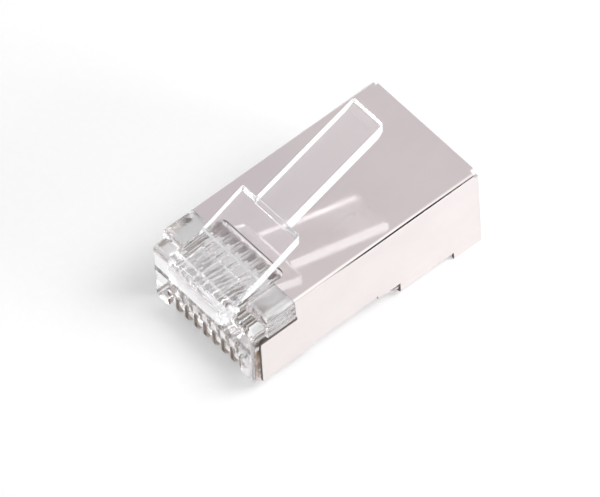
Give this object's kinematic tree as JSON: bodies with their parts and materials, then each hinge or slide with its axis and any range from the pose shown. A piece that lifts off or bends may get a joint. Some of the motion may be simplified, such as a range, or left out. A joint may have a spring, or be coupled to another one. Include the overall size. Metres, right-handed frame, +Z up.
{
  "type": "shielded ethernet plug",
  "caption": "Clear modular plug wrapped in a folded metal shield, with blade contacts in its nose, a springy latch and an open rear for the cable.",
  "frame": {"origin": "middle of the bounding box's bottom: midway between the sides and between the latch root and the shield's rear edge, at the lower edge of the shield's rear skirt", "axes": "+Z up from the contacts to the latch, square to the shield's top plate; the nose faces -Y and the cable leaves along +Y; +X is to the right as seen from the nose's side looking along +Y"},
  "size_m": [0.0116, 0.0226, 0.0145],
  "materials": {
    "clear_plastic": "clear moulded polycarbonate",
    "nickel_sheet": "bright nickel plate",
    "gold_plate": "gold plate"
  },
  "bodies": {
    "plug": {"housing": "clear_plastic", "shield": "nickel_sheet"},
    "latch": {"latch": "clear_plastic"},
    "strain_relief_bar": {"strain_relief_bar": "clear_plastic"},
    "contact_1": {"contact_1": "gold_plate"},
    "contact_2": {"contact_2": "gold_plate"},
    "contact_3": {"contact_3": "gold_plate"},
    "contact_4": {"contact_4": "gold_plate"},
    "contact_5": {"contact_5": "gold_plate"},
    "contact_6": {"contact_6": "gold_plate"},
    "contact_7": {"contact_7": "gold_plate"},
    "contact_8": {"contact_8": "gold_plate"}
  },
  "joints": [
    {"name": "latch_press", "type": "hinge", "parent": "plug", "child": "latch", "pos_m": [0, -0.01, 0.0074], "axis": [-1, 0, 0], "range_deg": [0, 10], "stiffness_Nm_per_rad": 0.35},
    {"name": "bar_crimp", "type": "hinge", "parent": "plug", "child": "strain_relief_bar", "pos_m": [0, 0.0072, 0.00109], "axis": [-1, 0, 0], "range_deg": [0, 25]},
    {"name": "contact_1_crimp", "type": "slide", "parent": "plug", "child": "contact_1", "axis": [0, 0, 1], "range_m": [0, 0.001]},
    {"name": "contact_2_crimp", "type": "slide", "parent": "plug", "child": "contact_2", "axis": [0, 0, 1], "range_m": [0, 0.001]},
    {"name": "contact_3_crimp", "type": "slide", "parent": "plug", "child": "contact_3", "axis": [0, 0, 1], "range_m": [0, 0.001]},
    {"name": "contact_4_crimp", "type": "slide", "parent": "plug", "child": "contact_4", "axis": [0, 0, 1], "range_m": [0, 0.001]},
    {"name": "contact_5_crimp", "type": "slide", "parent": "plug", "child": "contact_5", "axis": [0, 0, 1], "range_m": [0, 0.001]},
    {"name": "contact_6_crimp", "type": "slide", "parent": "plug", "child": "contact_6", "axis": [0, 0, 1], "range_m": [0, 0.001]},
    {"name": "contact_7_crimp", "type": "slide", "parent": "plug", "child": "contact_7", "axis": [0, 0, 1], "range_m": [0, 0.001]},
    {"name": "contact_8_crimp", "type": "slide", "parent": "plug", "child": "contact_8", "axis": [0, 0, 1], "range_m": [0, 0.001]}
  ]
}
